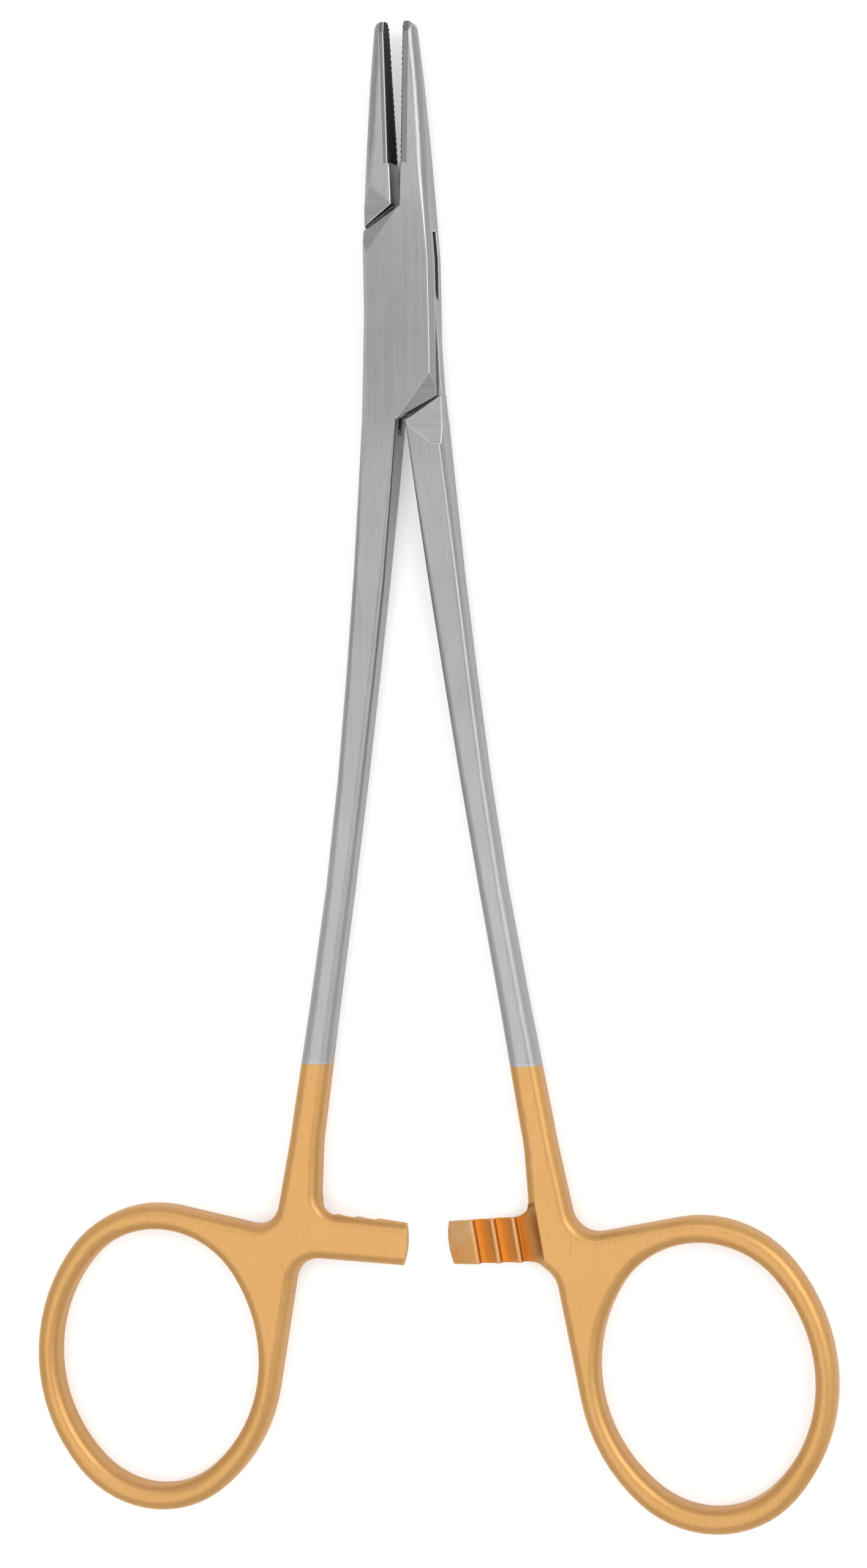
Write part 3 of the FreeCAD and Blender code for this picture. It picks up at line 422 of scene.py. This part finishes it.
def sinteredCarbide():
    # Ground tungsten carbide: darker and duller than the steel around it, with nearly black teeth
    s = carbide
    material, tree, output = newMaterial("sintered tungsten carbide")
    place = node(tree, "ShaderNodeTexCoord").outputs["Object"]
    normal = node(tree, "ShaderNodeNewGeometry").outputs["Normal"]
    xyz = node(tree, "ShaderNodeSeparateXYZ", Vector=place).outputs
    facing = node(tree, "ShaderNodeSeparateXYZ", Vector=normal).outputs
    grain = node(tree, "ShaderNodeTexNoise", Vector=place, Scale=1 / (s["grainSize"] * mm), Detail=2.0)

    # Teeth: the steep faces, and all that lies in the cut's depth
    deep = intoJaw(tree, xyz)
    steep = node(tree, "ShaderNodeMath", unsigned, n0=facing["Z"])
    tooth = node(tree, "ShaderNodeMapRange", Value=steep, From_Min=s["toothSteep"][0],
                 From_Max=s["toothSteep"][1])
    cutEdge = node(tree, "ShaderNodeMapRange", Value=deep, From_Min=s["toothDepth"] * mm,
                   From_Max=(s["toothDepth"] - s["toothSoft"]) * mm)
    tooth = node(tree, "ShaderNodeMath", larger, n0=tooth, n1=cutEdge)

    # Painted highlight on the edges near the teeth, and on the land along the left jaw's
    eased = node(tree, "ShaderNodeBevel", {"samples": s["edgeSamples"]}, Radius=s["edgeWidth"] * mm)
    same = node(tree, "ShaderNodeVectorMath", dot, n0=eased, n1=normal)
    edgeHighlight = node(tree, "ShaderNodeMapRange", Value=same, From_Min=s["edgeBend"][0], From_Max=s["edgeBend"][1])
    nearTeeth = node(tree, "ShaderNodeMath", under, n0=deep, n1=s["edgeDeep"] * mm)
    edgeHighlight = node(tree, "ShaderNodeMath", times, n0=edgeHighlight, n1=nearTeeth)
    edgeHighlight = node(tree, "ShaderNodeMath", times, n0=edgeHighlight, n1=s["edgeHighlightShare"])
    land = node(tree, "ShaderNodeMath", under, n0=deep, n1=(s["toothDepth"] + s["landWidth"]) * mm)
    leftJaw = node(tree, "ShaderNodeMath", under, n0=xyz["X"], n1=0.0)
    land = node(tree, "ShaderNodeMath", times, n0=land, n1=leftJaw)
    edgeHighlight = node(tree, "ShaderNodeMath", larger, n0=edgeHighlight, n1=land)

    ground = node(tree, "ShaderNodeMix", colours, Factor=grain, A=linear(s["dark"]), B=linear(s["light"]))
    ground = node(tree, "ShaderNodeMix", colours, Factor=edgeHighlight, A=ground, B=linear(s["edgeHighlightColour"]))
    cut = node(tree, "ShaderNodeMix", colours, Factor=grain, A=linear(s["toothDark"]),
               B=linear(s["toothLight"]))
    colour = node(tree, "ShaderNodeMix", colours, Factor=tooth, A=ground, B=cut)
    metal = node(tree, "ShaderNodeMix", amounts, Factor=tooth, A=1.0, B=s["toothMetal"])
    rough = node(tree, "ShaderNodeMix", amounts, Factor=tooth, A=s["roughness"], B=s["toothRoughness"])
    bump = node(tree, "ShaderNodeBump", Strength=s["grainStrength"], Distance=s["grainDepth"] * mm,
                Height=grain, Normal=eased)
    shader = node(tree, "ShaderNodeBsdfPrincipled", Base_Color=colour, Metallic=metal, Roughness=rough,
                  Normal=bump)
    tree.links.new(shader.outputs[0], output.inputs[0])
    return material


def paint(name, material):
    mesh = nodes[name].data
    mesh.materials.clear()
    mesh.materials.append(material)


leftForging = brushedForging("brushed stainless steel and gold plate left", -1)
rightForging = brushedForging("brushed stainless steel and gold plate right", 1)
paint("box_half", leftForging)
paint("tenon_half", rightForging)
paint("pivot_pin", leftForging)
insertMaterial = sinteredCarbide()
paint("box_insert", insertMaterial)
paint("tenon_insert", insertMaterial)
print("materials done")

# Floor, light and camera, in metres

studio = {
    "floorSize": 12.0,
    "floorDrop": 0.0001,          # under the object, so that their faces don't share a plane
    "floorColour": "#E6E6E6",
    "floorGlow": 0.36,            # added for the camera and in reflections, so that the open floor shows white
    "worldStrength": 0.8,
    "aim": (0, -0.045, 0),        # where the lamps point
}

# Large soft lamps: place and size in metres, power in watts
lamps = {
    "shanks": {"place": (-0.2, -0.25, 0.8), "size": (0.32, 0.26), "power": 0.68},
    "jaws": {"place": (-0.14, 0.33, 0.78), "size": (0.26, 0.26), "power": 0.6},
    "jawSides": {"place": (0.48, 0.22, 0.64), "size": (0.46, 0.46), "power": 2.2},
    "right": {"place": (0.66, -0.1, 0.56), "size": (0.5, 0.5), "power": 0.45},
}


def shownBy(tree):
    # 1 where the camera, a reflection or glass sees it, and 0 for the light that it gives
    path = node(tree, "ShaderNodeLightPath").outputs
    seen = node(tree, "ShaderNodeMath", larger, n0=path["Is Camera Ray"], n1=path["Is Glossy Ray"])
    return node(tree, "ShaderNodeMath", larger, n0=seen, n1=path["Is Transmission Ray"])


def floor():
    bpy.ops.object.select_all(action="DESELECT")
    level = cadBox[0][2] - studio["floorDrop"]
    bpy.ops.mesh.primitive_plane_add(size=studio["floorSize"], location=(0, 0, level))
    plane = bpy.context.object
    plane.name = "floor"
    bpy.ops.object.transform_apply(location=True)
    material, tree, output = newMaterial("pale studio floor")
    matt = node(tree, "ShaderNodeBsdfDiffuse", Color=linear(studio["floorColour"]))
    strength = node(tree, "ShaderNodeMath", times, n0=shownBy(tree), n1=studio["floorGlow"])
    glow = node(tree, "ShaderNodeEmission", Color=(1, 1, 1, 1), Strength=strength)
    both = node(tree, "ShaderNodeAddShader", n0=matt, n1=glow)
    tree.links.new(both.outputs[0], output.inputs[0])
    plane.data.materials.append(material)


def world():
    made = bpy.data.worlds.new("studio")
    bpy.context.scene.world = made
    made.use_nodes = True
    tree = made.node_tree
    tree.nodes.clear()
    strength = node(tree, "ShaderNodeMix", amounts, Factor=shownBy(tree), A=studio["worldStrength"], B=1.0)
    back = node(tree, "ShaderNodeBackground", Color=(1, 1, 1, 1), Strength=strength)
    node(tree, "ShaderNodeOutputWorld", Surface=back)


def lamp(name, place, size, power):
    data = bpy.data.lights.new(name, "AREA")
    data.shape = "RECTANGLE"
    data.size, data.size_y = size
    data.energy = power
    made = bpy.data.objects.new(name, data)
    made.location = place
    towards = Vector(studio["aim"]) - Vector(place)
    made.rotation_euler = towards.to_track_quat("-Z", "Y").to_euler()
    bpy.context.scene.collection.objects.link(made)


cameraView = {
    "turn": 14.324,               # degrees that the instrument is turned about its long axis
    "tip": 4.125,                 # degrees that it is tipped
    "roll": 1.427,                # degrees in the picture plane
    "distance": 351.0,            # mm from the plane of the lock
    "framePixels": (1416, 2560),
    "pivotPixel": (658, 512),     # where the pivot shows in that frame
    "pixelsPerMm": 16.6667,
    "focalPixels": 5850,
    "sensorHeight": 36,           # mm
    "middleHeight": 2.1,          # mm from the back to the middle plane of the lock
    "nearestSeen": 10,            # mm
}


def camera():
    v = cameraView
    turn = Matrix.Rotation(-math.radians(v["turn"]), 3, "Y")
    tip = Matrix.Rotation(math.radians(v["tip"]), 3, "X")
    roll = Matrix.Rotation(math.radians(v["roll"]), 3, "Z")
    toCamera = tip @ turn @ roll
    wide, high = v["framePixels"]
    pivotX, pivotY = v["pivotPixel"]
    pivot = Vector((pivotX - wide / 2, high / 2 - pivotY, 0)) / v["pixelsPerMm"]
    eye = toCamera.transposed() @ (Vector((0, 0, v["distance"])) - pivot)
    data = bpy.data.cameras.new("camera")
    data.sensor_fit = "VERTICAL"
    data.sensor_height = v["sensorHeight"]
    data.lens = v["sensorHeight"] * v["focalPixels"] / high
    made = bpy.data.objects.new("camera", data)
    place = toCamera.transposed().to_4x4()
    place.translation = (eye + Vector((0, 0, v["middleHeight"]))) * mm
    made.matrix_world = place
    data.clip_start = v["nearestSeen"] * mm
    bpy.context.scene.collection.objects.link(made)
    bpy.context.scene.camera = made


floor()
world()
for lampName, setup in lamps.items():
    lamp(lampName, **setup)
camera()
bpy.context.scene.view_settings.view_transform = "Standard"
print("studio done")
